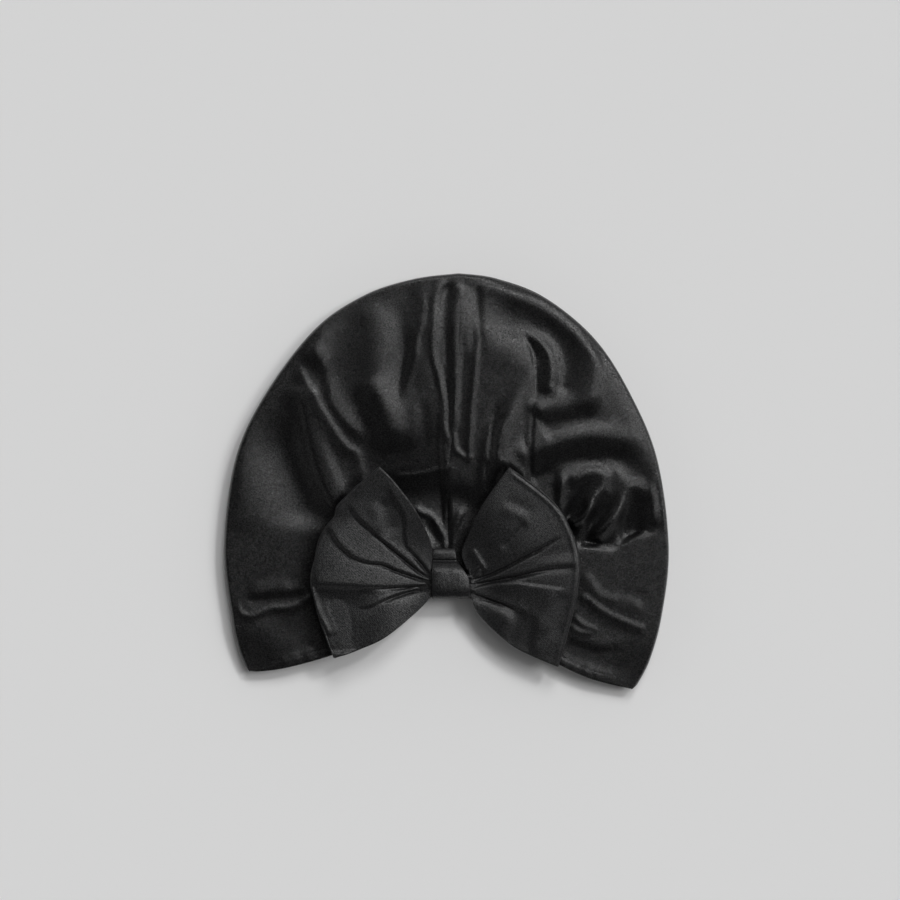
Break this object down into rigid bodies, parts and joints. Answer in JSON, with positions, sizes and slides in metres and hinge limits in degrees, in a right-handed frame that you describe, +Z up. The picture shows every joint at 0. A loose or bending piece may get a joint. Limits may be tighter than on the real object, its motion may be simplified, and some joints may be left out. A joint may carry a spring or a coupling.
{
  "type": "sleep cap",
  "caption": "Soft satin sleep cap lying on its back, with a seamed and gathered crown, an open rim for the head and a loop bow with a knot at the front.",
  "frame": {"origin": "middle of the cap's box, on the surface that the cap lies on", "axes": "+X across the cap, +Y from the rim to the top of the crown, +Z up from the surface, out of the front with the bow"},
  "size_m": [0.2671, 0.2492, 0.0219],
  "materials": {
    "crown_satin": "black satin with a soft gloss and a fine weave",
    "bow_satin": "black satin, a little duller than the crown",
    "knot_satin": "black satin pulled smooth round the knot"
  },
  "bodies": {
    "root": {"crown_panel_left": "crown_satin", "crown_panel_right": "crown_satin", "bow_loop": "bow_satin", "bow_knot": "knot_satin"}
  },
  "joints": []
}
